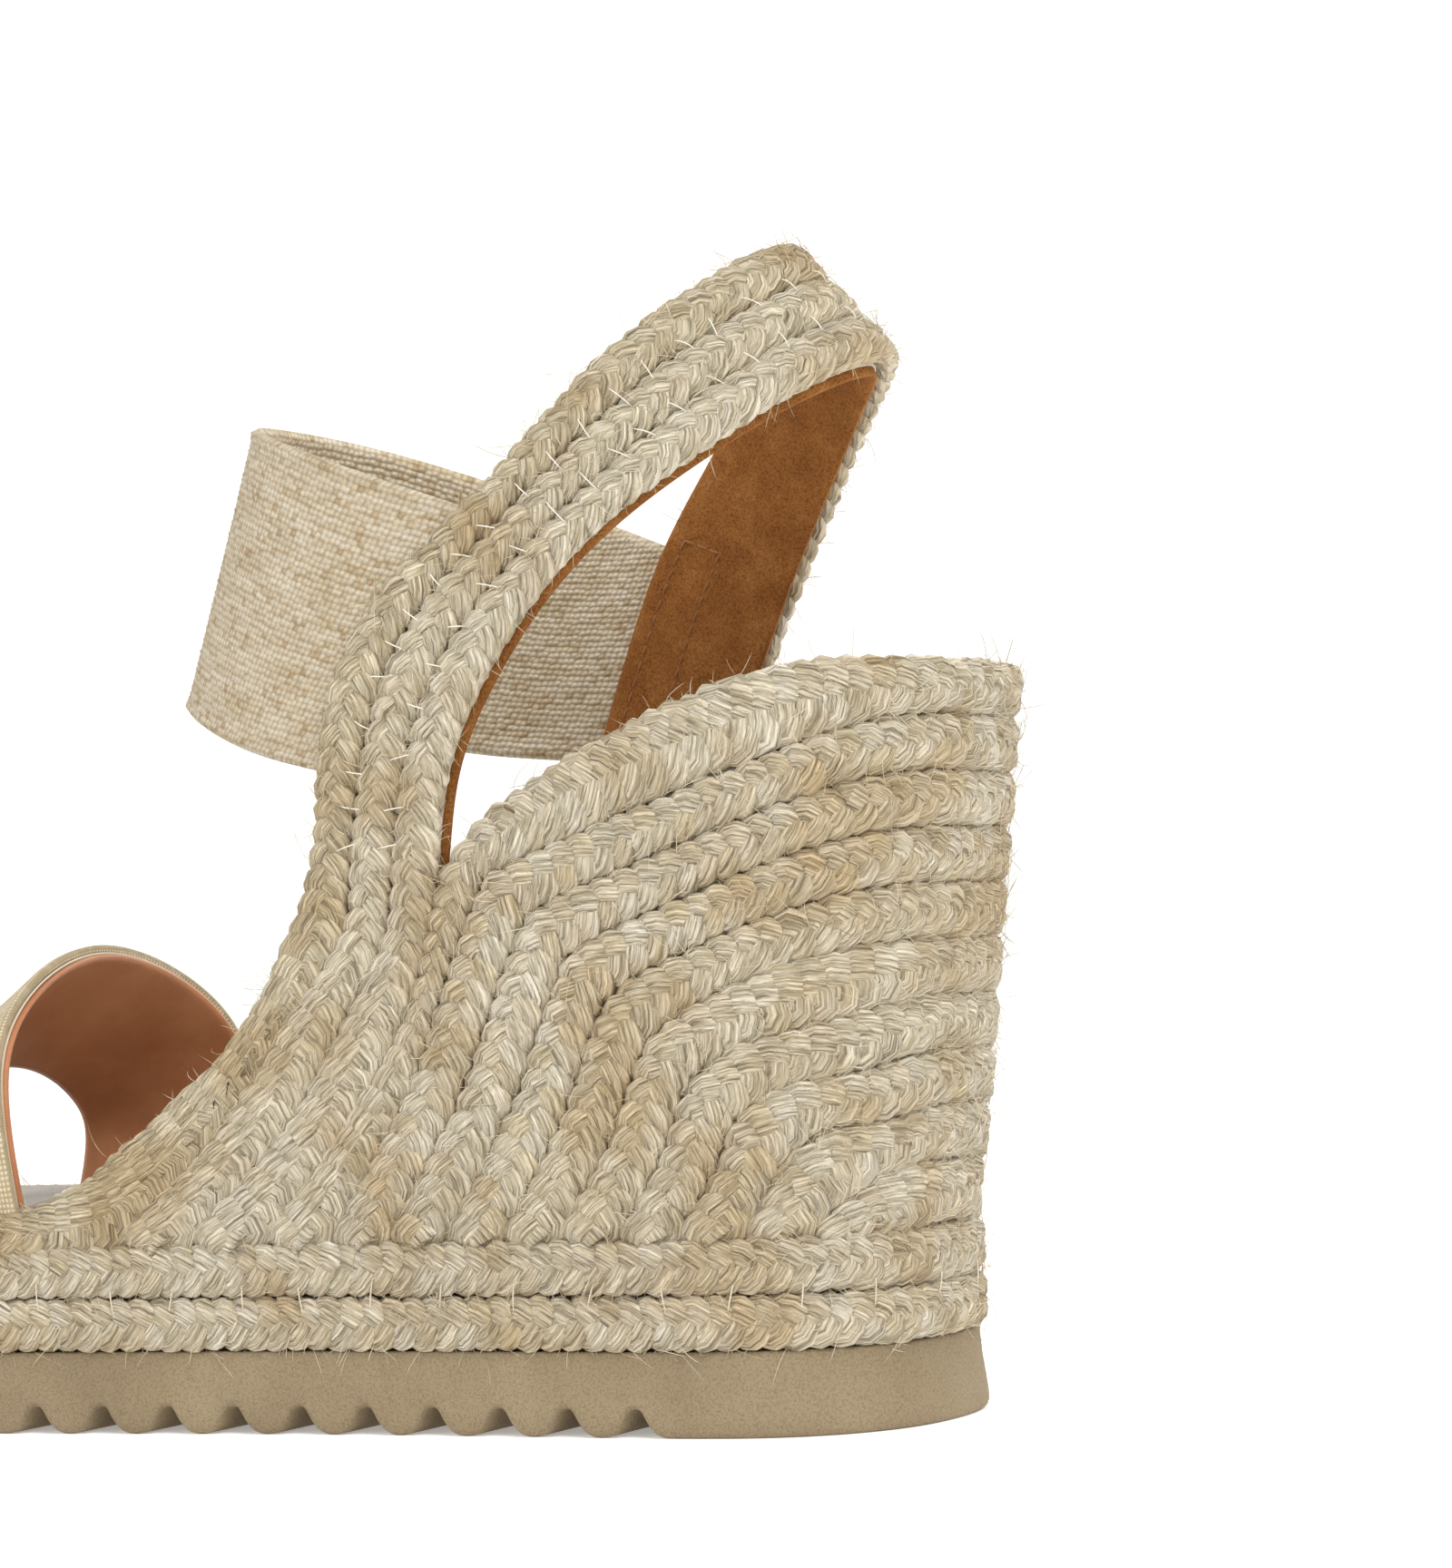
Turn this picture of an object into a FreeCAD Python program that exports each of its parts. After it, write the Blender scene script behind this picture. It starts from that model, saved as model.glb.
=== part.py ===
"""Jute wedge sandal, left foot: platform sole, braid-wrapped wedge, toe strap,
braided heel strap with a suede lining, and an elastic instep band.
Frame in mm: X toward the heel, Y toward the inner side of the foot, Z up from the floor."""
import os

import FreeCAD, Part
from FreeCAD import Vector

os.makedirs("parts", exist_ok=True)

# driving dimensions
heel_x = 114.0
toe_x = -119.4
outsole_thick = 12.4
braid_pitch = 8.15
platform_top = 28.8
braid_depth = 4.0
rim_height = 111.5
heel_lean = 6.6
groove_pitch = 11.1
groove_depth = 4.2
groove_width = 6.2
last_groove_x = 75.9
insole_level = 33.4
board_thick = 1.8
padding_thick = 2.0
sock_thick = 0.9
shank_thick = 1.4
strap_braid_thick = 3.8
strap_tape_thick = 0.6
lining_thick = 1.2
elastic_thick = 2.0
toe_outer_thick = 1.6
toe_inter_thick = 0.5
toe_lining_thick = 1.1
hinge_radius = 11.2
hinge_gap = 1.0
hinge_outer = Vector(35.4, -34.9, 84.5)
hinge_inner = Vector(49.5, 29.4, 91.8)
tilt_steps = [-4.0, -2.0, 0.0, 2.0, 4.0, 6.0, 8.0, 10.0]
big = 70.0

# plan outline: distance forward of the heel back, half width to that side
outer_side = [(3.2, 16.0), (14.0, 27.3), (35.0, 32.2), (60.0, 33.5), (90.0, 35.5), (120.0, 39.0),
              (150.0, 43.0), (175.0, 44.0), (200.0, 38.5), (219.0, 26.0), (229.5, 12.0)]
inner_side = [(3.2, 16.0), (14.0, 26.6), (35.0, 29.8), (60.0, 29.4), (90.0, 29.0), (120.0, 32.5),
              (150.0, 39.0), (175.0, 43.6), (200.0, 42.0), (219.0, 31.5), (229.5, 18.0)]


def save(name, shape):
    solids = [s for s in shape.Solids if s.Volume > 2.0]
    if len(solids) == 1:
        shape = solids[0]
    elif len(solids) > 1:
        shape = Part.makeCompound(solids)
    shape.exportStep("parts/%s.step" % name)
    box = shape.optimalBoundingBox(False)
    print("%-26s solids %d  x %.1f..%.1f  y %.1f..%.1f  z %.1f..%.1f  vol %.0f  %s" % (
        name, len(solids), box.XMin, box.XMax, box.YMin, box.YMax, box.ZMin, box.ZMax,
        shape.Volume, [round(s.Volume) for s in solids]))


def spline(points, closed=False):
    curve = Part.BSplineCurve()
    curve.interpolate(Points=[Vector(*p) for p in points], PeriodicFlag=closed)
    return curve


def plan_curve():
    loop = [(heel_x, 0, 0)]
    loop += [(heel_x - s, -w, 0) for s, w in outer_side]
    loop += [(toe_x, 5.0, 0)]
    loop += [(heel_x - s, w, 0) for s, w in reversed(inner_side)]
    return spline(loop, True)


plan = plan_curve()


def plan_samples(count=72):
    first = plan.FirstParameter
    span = plan.LastParameter - first
    rows = []
    for i in range(count):
        t = first + span * i / count
        p = plan.value(t)
        d = plan.tangent(t)[0]
        rows.append((p, Vector(d.y, -d.x, 0)))
    return rows


plan_rows = plan_samples()


def ease(v):
    v = max(0.0, min(1.0, v))
    return v * v * (3 - 2 * v)


def wall_wire(inset, z):
    """Outline at height z, set in from the wall face; the back leans as it rises."""
    points = []
    for p, side in plan_rows:
        inward = Vector(side)
        if (p + inward - Vector(0, 0, 0)).Length > (p - inward).Length:
            inward = inward * -1
        q = p + inward * inset
        lean = heel_lean * ease((p.x - 55) / 60) * (z - platform_top) / (rim_height - platform_top)
        points.append((q.x + lean, q.y, z))
    return Part.Wire([spline(points, True).toShape()])


def wall_body(inset, low, high):
    return Part.makeLoft([wall_wire(inset, low), wall_wire(inset, high)], True, True)


def plain_body(inset_low, inset_high, low, high):
    """Straight-sided body for the platform, with no lean."""
    wires = []
    for inset, z in ((inset_low, low), (inset_high, high)):
        points = []
        for p, side in plan_rows:
            inward = Vector(side)
            if (p + inward).Length > (p - inward).Length:
                inward = inward * -1
            q = p + inward * inset
            points.append((q.x, q.y, z))
        wires.append(Part.Wire([spline(points, True).toShape()]))
    return Part.makeLoft(wires, True, True)


def prism(edge_points, corner_points, y0, y1):
    """Region in the XZ plane, bounded by a spline and straight corners, pushed along Y."""
    curve = spline([(x, y0, z) for x, z in edge_points]).toShape()
    chain = [edge_points[-1]] + list(corner_points) + [edge_points[0]]
    lines = []
    for a, b in zip(chain[:-1], chain[1:]):
        lines.append(Part.makeLine(Vector(a[0], y0, a[1]), Vector(b[0], y0, b[1])))
    face = Part.Face(Part.Wire([curve] + lines))
    return face.extrude(Vector(0, y1 - y0, 0))


def inner_map(points):
    """The inner side's braids sit farther back and higher as they rise."""
    out = []
    for x, z in points:
        w = max(0.0, min(1.0, (z - 30) / 60)) * max(0.0, min(1.0, (112 - x) / 55))
        out.append((x + 15.5 * w, z + 8 * w))
    return out


def two_sided(edge_points, corner_points, mapped=True):
    outer = prism(edge_points, corner_points, -big, 0)
    inner_points = inner_map(edge_points) if mapped else edge_points
    inner = prism(inner_points, corner_points, 0, big)
    return outer.fuse(inner)


# side-view curves
rim = [(132, rim_height - 0.8), (122, rim_height), (112, rim_height + 0.6), (101, 110.9), (91.5, 108.5),
       (78.9, 104.0), (63.8, 97.0), (54.6, 91.6), (47.5, 85.6)]
front_edge = [(24.6, 100.0), (24.4, 92.9), (23.8, 84.7), (21.5, 76.6), (18.2, 68.5), (12.8, 59.5), (5.0, 51.2),
              (-5.3, 43.2), (-15.0, 37.6), (-27.0, 34.2), (-42.0, 33.6), (-80.0, 33.6), (-130.0, 33.6)]
bed = [(135, 108.6), (122, 108.6), (110, 108.0), (91, 105.4), (76, 100.4), (61, 92.6), (46, 82.2), (31, 70.2),
       (16, 58.4), (2, 48.4), (-12, 40.4), (-24, 35.6), (-34, 33.8), (-46, insole_level),
       (-60, insole_level), (-90, insole_level), (-130, insole_level)]


def lower_bed(depth):
    curve = spline([(x, 0, z) for x, z in bed])
    rows = []
    count = 40
    for i in range(count + 1):
        t = curve.FirstParameter + (curve.LastParameter - curve.FirstParameter) * i / count
        p = curve.value(t)
        d = curve.tangent(t)[0]
        down = Vector(d.z, 0, -d.x)
        if down.z > 0:
            down = down * -1
        q = p + down * depth
        rows.append((q.x, q.z))
    return rows


def under(points, floor_z):
    """Everything below a side-view curve that runs from heel to toe."""
    return prism(points, [(points[-1][0], floor_z), (points[0][0], floor_z)], -big, big)


def row_curve(k):
    """Lower edge of braid row k: level round the heel, bent at a knee, then down to the platform."""
    level = rim_height - braid_pitch * k
    knee_x = 54.2 + 6.6 * (k - 1)
    knee_z = 82.1 - 5.85 * (k - 1)
    land_x = 26.2 + 9.5 * (k - 1)
    pts = [(134, level - 0.2), (120, level)]
    if k < 8:
        pts.append((max(knee_x + 22, 106 - 0.6 * k), level - 1.6 - 0.25 * (8 - k)))
        mid = 0.5 * (pts[-1][0] + knee_x)
        pts.append((mid, 0.46 * pts[-1][1] + 0.54 * knee_z + 1.4))
    pts.append((knee_x + 2.2, knee_z + 1.3))
    pts.append((knee_x - 1.8, knee_z - 2.4))
    pts.append((land_x + 0.52 * (knee_x - land_x), 28.8 + 0.45 * (knee_z - 28.8)))
    pts.append((land_x, 28.8))
    pts.append((land_x - 3.5, 22.0))
    return pts


def strap_row_curve(top_x, land_x, bulge):
    return [(top_x + 1.6, 124.0), (top_x + 0.6, 104.0), (top_x, 92.0), (top_x - 0.6, 82.0),
            (0.75 * top_x + 0.25 * land_x + bulge, 64.0), (0.45 * top_x + 0.55 * land_x + bulge, 46.5),
            (land_x, 28.8), (land_x - 7.0, 22.0)]


def region_behind(points):
    """Region on the heel side of, and below, a braid's lower or rear edge."""
    if points[0][0] > 100:
        return two_sided(points, [(134, 22.0)])
    return two_sided(points, [(134, 22.0), (134, 124.0)])


# sole
outsole = plain_body(-1.4, -0.4, 0.0, outsole_thick)
x = last_groove_x
while x > toe_x + 8:
    half = groove_width / 2
    pts = [(x - half, 0.0), (x - half * 0.62, groove_depth * 0.36), (x - half * 0.30, groove_depth * 0.80),
           (x, groove_depth), (x + half * 0.30, groove_depth * 0.80), (x + half * 0.62, groove_depth * 0.36),
           (x + half, 0.0)]
    outsole = outsole.cut(prism(pts, [(x + half, -2.0), (x - half, -2.0)], -big, big))
    x -= groove_pitch
save("outsole", outsole)

seam = outsole_thick + (platform_top - outsole_thick) / 2
core = plain_body(braid_depth, braid_depth, outsole_thick, platform_top)
save("platform_core", core)
lower_row = plain_body(0.0, 0.0, outsole_thick, seam).cut(core)
upper_row = plain_body(0.0, 0.0, seam, platform_top).cut(core)
save("platform_braid_lower", lower_row)
save("platform_braid_upper", upper_row)

thread = plain_body(-0.35, -0.35, seam - 1.5, seam + 1.5).cut(plain_body(0.0, 0.0, 10, 35))
save("platform_stitching", thread)

# wedge: wall shell and core
inside = wall_body(braid_depth, platform_top, 125.0)
shell = wall_body(0.0, platform_top, 125.0).cut(inside)

axis = hinge_inner - hinge_outer
axis_dir = Vector(axis)
axis_dir.normalize()
start = hinge_outer - axis_dir * 30
pivot = Part.makeCylinder(hinge_radius, axis.Length + 60, start, axis_dir)
socket = Part.makeCylinder(hinge_radius + hinge_gap, axis.Length + 60, start, axis_dir)
near_wall = wall_body(-8.0, 40.0, 125.0).cut(wall_body(6.4, 30.0, 130.0))
socket = socket.common(near_wall)

rim_region = under(rim, 20.0).cut(Part.makeBox(200, 200, 120, Vector(-153.5, -100, 0)))
rim_outer = rim_region.common(Part.makeBox(400, big, 200, Vector(-200, -big, 0)))
rim_inner = under(rim, 20.0).cut(Part.makeBox(200, 200, 120, Vector(-138.5, -100, 0)))
rim_inner = rim_inner.common(Part.makeBox(400, big, 200, Vector(-200, 0, 0)))

crotch_line = strap_row_curve(46.6, 14.6, 2.0)
behind_crotch = region_behind(crotch_line)
wedge_zone = shell.common(behind_crotch)
wedge_zone = wedge_zone.common(rim_outer.fuse(rim_inner).fuse(
    under([(140, 84), (60, 84), (-130, 84)], 20)))
wedge_zone = wedge_zone.cut(socket)

left = wedge_zone
for k in range(1, 10):
    region = region_behind(row_curve(k))
    row = left.cut(region)
    left = left.common(region)
    save("wedge_braid_%02d" % k, row)
save("wedge_braid_10", left)

# the three braids of the heel strap sweep down the side and land on the platform
fore = shell.cut(behind_crotch)
edge_top = prism(front_edge, [(-130.0, 22.0), (24.6, 22.0)], -big, 0)
edge_fill = prism([(24.5, 22.0), (24.5, 60.0), (24.5, 100.0)], [(60.0, 100.0), (60.0, 22.0)], -big, 0)
inner_front = inner_map(front_edge)
edge_top_inner = prism(inner_front, [(-130.0, 22.0), (inner_front[0][0], 22.0)], 0, big)
edge_fill_inner = prism([(inner_front[0][0] - 0.1, 22.0), (inner_front[0][0] - 0.1, 60.0),
                         (inner_front[0][0] - 0.1, 120.0)], [(80.0, 120.0), (80.0, 22.0)], 0, big)
zone_outer = edge_top.fuse(edge_fill)
zone_inner = edge_top_inner.fuse(edge_fill_inner)
level_outer = Part.makeBox(400, 100, 200, Vector(-200, -100, hinge_outer.z - 200))
level_inner = Part.makeBox(400, 100, 200, Vector(-200, 0, hinge_inner.z - 200))
fore = fore.common(zone_outer.common(level_outer).fuse(zone_inner.common(level_inner)))
fore = fore.cut(socket)
line_2 = strap_row_curve(39.0, 1.9, 1.4)
line_1 = strap_row_curve(31.6, -10.6, 0.6)
behind_2 = region_behind(line_2)
behind_1 = region_behind(line_1)
third = fore.common(behind_2)
second = fore.cut(behind_2).common(behind_1)
first = fore.cut(behind_1)
outer_half = Part.makeBox(400, 100, 200, Vector(-200, -100, 0))
inner_half = Part.makeBox(400, 100, 200, Vector(-200, 0, 0))
save("side_braid_3_outer", third.common(outer_half))
save("side_braid_3_inner", third.common(inner_half))
save("side_braid_2_outer", second.common(outer_half))
save("side_braid_2_inner", second.common(inner_half))
save("edge_braid", first)

# foot bed stack, wedge core and shank
stack = board_thick + padding_thick + sock_thick
foot_zone = wall_body(braid_depth, platform_top, 125.0).cut(socket)
cut_sock = under(lower_bed(sock_thick), 0.0)
cut_pad = under(lower_bed(sock_thick + padding_thick), 0.0)
cut_board = under(lower_bed(stack), 0.0)
top = foot_zone.common(under(bed, 0.0))
sock = top.cut(cut_sock)
padding = top.common(cut_sock).cut(cut_pad)
save("insole_board", top.common(cut_pad).cut(cut_board))
below = top.common(cut_board)
shank_low = under(lower_bed(stack + shank_thick), 0.0)
strip = Part.makeBox(126, 15, 200, Vector(-24, -7.5, 0))
shank = below.cut(shank_low).common(strip)
wedge_core = below.cut(shank)
wedge_core = wedge_core.common(Part.makeBox(200, 200, 200, Vector(-30, -100, 0)))
save("shank", shank)
save("wedge_core", wedge_core)


def section_loft(sections):
    wires = []
    for a, b, c, d in sections:
        wires.append(Part.makePolygon([a, b, c, d, a]))
    return Part.makeLoft(wires, True, False)


def band(curve_a, curve_b, t0, t1, w0, w1, d0, d1, count, outward):
    """Strip between two edge curves, from width w0 to w1 and depth d0 to d1 below its outer face."""
    sections = []
    for i in range(count + 1):
        t = t0 + (t1 - t0) * i / count
        a = curve_a.value(t)
        b = curve_b.value(t)
        along = curve_a.tangent(t)[0] + curve_b.tangent(t)[0]
        normal = along.cross(b - a)
        normal.normalize()
        normal = normal * outward
        p0 = a + (b - a) * w0
        p1 = a + (b - a) * w1
        sections.append((p0 - normal * d0, p1 - normal * d0, p1 - normal * d1, p0 - normal * d1))
    return section_loft(sections)


def matched(points):
    """Spline with one even parameter step per station, so two edges stay paired."""
    curve = Part.BSplineCurve()
    curve.interpolate(Points=[Vector(*p) for p in points], Parameters=[float(i) for i in range(len(points))])
    return curve


# heel strap: front and rear edges of its outer face, outer leg to inner leg
strap_front = matched([(23.6, -34.6, 71.0), (24.2, -34.8, 84.5), (26.7, -35.6, 99.0), (33.6, -36.0, 119.0),
                       (53.0, -34.0, 138.2), (72.4, -28.5, 157.6), (85.0, -17.0, 170.0), (92.9, 0.0, 177.4),
                       (85.5, 16.0, 170.2), (73.2, 24.4, 155.0), (57.0, 29.4, 135.2), (45.2, 31.0, 110.0),
                       (38.1, 30.0, 91.8), (34.4, 29.8, 79.0)])
strap_rear = matched([(46.0, -35.0, 71.0), (46.6, -35.0, 84.5), (49.0, -35.6, 96.6), (56.0, -35.8, 111.0),
                      (70.4, -33.6, 129.0), (88.6, -26.0, 143.4), (102.0, -14.6, 153.6), (109.5, 0.0, 159.0),
                      (103.0, 13.0, 155.4), (91.6, 22.4, 144.0), (79.4, 28.0, 126.4), (68.6, 30.4, 106.5),
                      (61.0, 29.8, 92.2), (56.0, 29.8, 79.0)])
strap_keep = Part.makeBox(400, 100, 200, Vector(-200, -100, hinge_outer.z)).fuse(
    Part.makeBox(400, 100, 200, Vector(-200, 0, hinge_inner.z))).fuse(pivot)

# room that the wedge's rim needs while the strap tilts about its hinge line
rim_room = wall_body(-0.7, 40.0, 125.0).common(rim_outer.fuse(rim_inner))
rim_room.translate(Vector(-0.4, 0, 0.9))
rim_room = rim_room.cut(Part.makeCylinder(hinge_radius - 0.9, axis.Length + 60, start, axis_dir))


def strap_layer(w0, w1, d0, d1):
    body = band(strap_front, strap_rear, 0.0, 13.0, w0, w1, d0, d1, 39, -1.0)
    body = body.common(strap_keep)
    for tilt in tilt_steps:
        room = rim_room.copy()
        room.rotate(hinge_outer, axis_dir, -tilt)
        body = body.cut(room)
    return body


for number in range(3):
    save("strap_braid_%d" % (number + 1), strap_layer(number / 3, (number + 1) / 3, 0.0, strap_braid_thick))
tape_low = strap_braid_thick + strap_tape_thick
save("strap_tape", strap_layer(0.04, 0.96, strap_braid_thick, tape_low))
lining = strap_layer(0.0, 1.0, tape_low, tape_low + lining_thick)
save("strap_lining", lining)

# the sock and its padding are trimmed where the strap's lining swings past them
for tilt in [2.0, 3.0, 4.2, 5.33, 6.5, 7.67, 8.8, 10.0]:
    for shift in (-0.12, 0.12):
        swing = lining.copy()
        swing.rotate(hinge_outer, axis_dir, tilt)
        swing.translate(Vector(0, shift, -0.1))
        sock = sock.cut(swing)
        padding = padding.cut(swing)
save("sock_lining", sock)
save("insole_padding", padding)
lining_face = tape_low + lining_thick
stitch_face = lining_face + 0.01
seams = strap_layer(0.20, 0.215, stitch_face, stitch_face + 0.25)
seams = seams.fuse(strap_layer(0.90, 0.915, stitch_face, stitch_face + 0.25))
save("lining_stitching", seams)

# elastic instep band: lower and upper edges of its outer face
band_low = matched([(27.3, -34.4, 99.6), (12.0, -32.6, 104.0), (-4.4, -22.4, 110.6), (-12.2, 0.0, 113.0),
                    (-4.0, 21.4, 110.8), (12.6, 29.6, 105.2), (41.0, 30.4, 101.6)])
band_high = matched([(52.4, -32.6, 138.0), (33.5, -31.4, 145.0), (10.0, -20.6, 153.6), (0.4, 0.0, 157.0),
                     (10.4, 19.4, 153.8), (34.0, 27.6, 144.6), (56.2, 28.4, 135.3)])
step = 0.012


def elastic(t0, t1, count):
    return band(band_low, band_high, t0, t1, 0, 1, 0.0, elastic_thick, count, -1.0)


# the sides butt against the strap's front edge, which is a little oversize here for clearance
strap_edge = band(strap_front, strap_rear, 0.0, 13.0, -0.004, 0.5, -0.3, lining_face + 0.3, 39, -1.0)
save("elastic_front", elastic(1.8, 4.2, 12))
save("elastic_side_outer", elastic(0.0, 1.8 - step, 9).cut(strap_edge))
save("elastic_side_inner", elastic(4.2 + step, 6.0, 9).cut(strap_edge))

# toe strap: rear and front edges of its outer face, outer foot to inner foot
toe_rear = matched([(-28.0, -38.6, 30.0), (-31.5, -38.4, 50.0), (-35.5, -28.5, 66.0), (-38.5, 0.0, 75.4),
                    (-35.5, 28.0, 66.0), (-31.5, 35.6, 50.0), (-28.0, 35.6, 30.0)])
toe_front = matched([(-70.5, -39.2, 30.0), (-67.0, -37.4, 42.0), (-63.5, -25.0, 51.4), (-60.5, 0.0, 57.6),
                     (-63.5, 24.5, 51.4), (-67.0, 36.4, 42.0), (-70.5, 38.4, 30.0)])


def toe_layer(d0, d1):
    body = band(toe_rear, toe_front, 0.0, 6.0, 0, 1, d0, d1, 24, 1.0)
    body = body.cut(Part.makeBox(400, 200, insole_level, Vector(-200, -100, 0)))
    return body.cut(top).cut(first)


inter = toe_outer_thick + toe_inter_thick
layer_gap = 0.03
save("toe_strap_outer", toe_layer(0.0, toe_outer_thick))
save("toe_strap_interlining", toe_layer(toe_outer_thick + layer_gap, inter - layer_gap))
save("toe_strap_lining", toe_layer(inter, inter + toe_lining_thick))
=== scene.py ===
import bpy
import bmesh
import math
import numpy as np
from mathutils import Matrix, Vector


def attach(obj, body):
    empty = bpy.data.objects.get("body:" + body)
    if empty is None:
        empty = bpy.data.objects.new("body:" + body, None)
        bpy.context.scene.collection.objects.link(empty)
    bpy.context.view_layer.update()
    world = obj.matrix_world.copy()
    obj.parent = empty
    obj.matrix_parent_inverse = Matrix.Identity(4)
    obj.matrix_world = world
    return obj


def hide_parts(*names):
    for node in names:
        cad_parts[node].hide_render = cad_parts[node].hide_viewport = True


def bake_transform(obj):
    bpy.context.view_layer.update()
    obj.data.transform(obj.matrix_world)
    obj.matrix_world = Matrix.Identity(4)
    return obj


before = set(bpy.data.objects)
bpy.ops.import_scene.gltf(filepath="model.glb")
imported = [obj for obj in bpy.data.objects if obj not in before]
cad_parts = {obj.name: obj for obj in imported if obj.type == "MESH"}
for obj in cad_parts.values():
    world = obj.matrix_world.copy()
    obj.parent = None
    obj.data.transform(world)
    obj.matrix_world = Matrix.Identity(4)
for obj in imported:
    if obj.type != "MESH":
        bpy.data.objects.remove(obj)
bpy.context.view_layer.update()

# jute wedge sandal, left foot: lengths are in mm here and become metres when a mesh is laid
mm = 0.001


def linear(hexText):
    # sRGB hex to linear RGBA
    out = []
    for i in (0, 2, 4):
        c = int(hexText[i:i + 2], 16) / 255
        out.append(c / 12.92 if c <= 0.04045 else ((c + 0.055) / 1.055) ** 2.4)
    return (*out, 1.0)


def addNode(mat, kind, settings=None, links=None, out=0):
    # one node with its settings and its incoming links; gives back one output
    n = mat.node_tree.nodes.new("ShaderNode" + kind)
    for key, value in (settings or {}).items():
        if key == "stops":
            while len(n.color_ramp.elements) < len(value):
                n.color_ramp.elements.new(0.5)
            for spot, (place, colour) in zip(n.color_ramp.elements, value):
                spot.position = place
                spot.color = linear(colour)
        elif isinstance(key, str) and hasattr(n, key):
            setattr(n, key, value)
        else:
            n.inputs[key].default_value = value
    for key, source in (links or {}).items():
        mat.node_tree.links.new(source, n.inputs[key])
    return n.outputs[out]


def newMaterial(name, settings):
    mat = bpy.data.materials.new(name)
    mat.use_nodes = True
    shader = mat.node_tree.nodes["Principled BSDF"]
    for key, value in settings.items():
        shader.inputs[key].default_value = value
    return mat, shader


def unit(v):
    return v / np.maximum(np.linalg.norm(v, axis=-1, keepdims=True), 1e-9)


def ease(v):
    v = np.clip(v, 0, 1)
    return v * v * (3 - 2 * v)


def smoothThrough(xs, ys, x):
    # natural cubic through (xs, ys)
    xs, ys, x = np.asarray(xs, float), np.asarray(ys, float), np.asarray(x, float)
    n = len(xs)
    h = np.diff(xs)
    a = np.zeros((n, n))
    r = np.zeros((n,) + ys.shape[1:])
    a[0, 0] = a[-1, -1] = 1
    for i in range(1, n - 1):
        a[i, i - 1:i + 2] = h[i - 1], 2 * (h[i - 1] + h[i]), h[i]
        r[i] = 3 * ((ys[i + 1] - ys[i]) / h[i] - (ys[i] - ys[i - 1]) / h[i - 1])
    c = np.linalg.solve(a, r)
    i = np.clip(np.searchsorted(xs, x, side="right") - 1, 0, n - 2)
    hh, dx = h[i], x - xs[i]
    if ys.ndim > 1:
        hh, dx = hh[..., None], dx[..., None]
    b = (ys[i + 1] - ys[i]) / hh - hh * (2 * c[i] + c[i + 1]) / 3
    return ys[i] + b * dx + c[i] * dx ** 2 + (c[i + 1] - c[i]) / (3 * hh) * dx ** 3


def runLength(p):
    return np.concatenate([[0], np.cumsum(np.linalg.norm(np.diff(p, axis=0), axis=1))])


def newMesh():
    # strandMap holds mm along, mm across and a random tone for each piece of yarn
    bm = bmesh.new()
    return bm, bm.verts.layers.float_vector.new("strandMap")


def layGrid(bm, layer, points, maps, rolled=False, capped=True):
    # grid laid on points (rows, columns, 3); rolled joins the last column to the first and caps the ends
    rows, cols = points.shape[:2]
    if rolled:
        points = np.concatenate([points, points[:, :1]], 1)
        maps = np.concatenate([maps, maps[:, :1]], 1)
    wide = points.shape[1]
    verts = bmesh.ops.create_grid(bm, x_segments=wide - 1, y_segments=rows - 1, size=1)["verts"]
    for v, p, q in zip(verts, (points.reshape(-1, 3) * mm).tolist(), maps.reshape(-1, 3).tolist()):
        v.co = p
        v[layer] = q
    if rolled:
        join = {verts[i * wide + cols]: verts[i * wide] for i in range(rows)}
        ends = [{verts[i * wide + j] for j in range(cols)} for i in (0, rows - 1)]
        bmesh.ops.weld_verts(bm, targetmap=join)
        for ring in ends if capped else ():
            rim = {e for v in ring for e in v.link_edges if e.other_vert(v) in ring}
            bmesh.ops.edgeloop_fill(bm, edges=list(rim))


def dress(mat, shader, colour, height, strength, distance):
    # joins the colour and a bump made from height (distance in metres) to the shader
    mat.node_tree.links.new(colour, shader.inputs["Base Color"])
    bump = addNode(mat, "Bump", {"Strength": strength, "Distance": distance}, {"Height": height})
    mat.node_tree.links.new(bump, shader.inputs["Normal"])
    return mat


def finishMesh(name, bm, mats):
    bmesh.ops.recalc_face_normals(bm, faces=bm.faces)
    me = bpy.data.meshes.new(name)
    bm.to_mesh(me)
    bm.free()
    for m in mats:
        me.materials.append(m)
    me.polygons.foreach_set("use_smooth", [True] * len(me.polygons))
    ob = bpy.data.objects.new(name, me)
    bpy.context.scene.collection.objects.link(ob)
    return ob


# sizes shared by every piece; lean is how far the rim sits back from the platform at the heel
sole = dict(heelX=114.0, toeX=-119.4, outsole=12.4, top=28.8, rim=111.5, pitch=8.15, lean=10.4, insole=33.4,
            outer=[(3.2, 16.0), (14.0, 27.3), (35.0, 32.2), (60.0, 33.5), (90.0, 35.5), (120.0, 39.0),
                   (150.0, 43.0), (175.0, 44.0), (200.0, 38.5), (219.0, 26.0), (229.5, 12.0)],
            inner=[(3.2, 16.0), (14.0, 26.6), (35.0, 29.8), (60.0, 29.4), (90.0, 29.0), (120.0, 32.5),
                   (150.0, 39.0), (175.0, 43.6), (200.0, 42.0), (219.0, 31.5), (229.5, 18.0)])


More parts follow.
